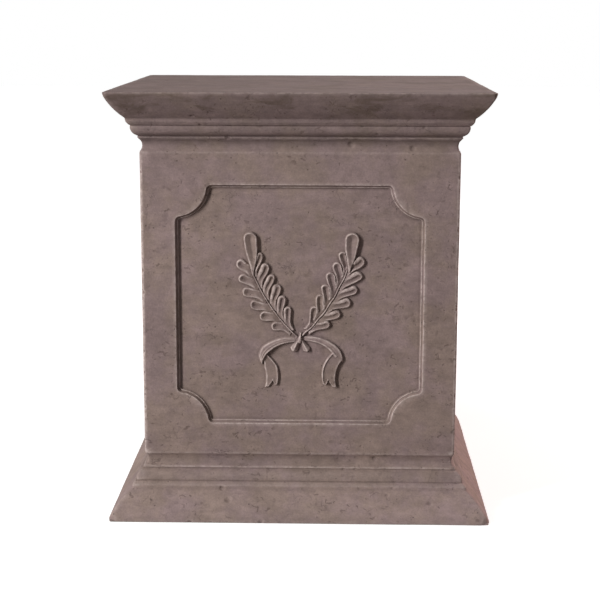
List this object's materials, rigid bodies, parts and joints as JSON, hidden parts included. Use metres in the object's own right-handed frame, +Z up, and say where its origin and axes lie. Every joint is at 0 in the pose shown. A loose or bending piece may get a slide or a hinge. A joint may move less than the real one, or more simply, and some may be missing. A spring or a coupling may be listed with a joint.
{
  "type": "square pedestal",
  "caption": "Square cast-stone pedestal with a moulded cap and base, scoop-cornered sunk panels and two leafy sprays tied by a ribbon in relief on the front.",
  "frame": {"origin": "middle of the underside, on the ground", "axes": "+Z up, -Y towards someone who faces the carved front, +X to their right"},
  "size_m": [0.549, 0.549, 0.612],
  "materials": {
    "cast_stone": "matte, mottled mauve-brown cast stone"
  },
  "bodies": {
    "root": {"pedestal": "cast_stone"}
  },
  "joints": []
}
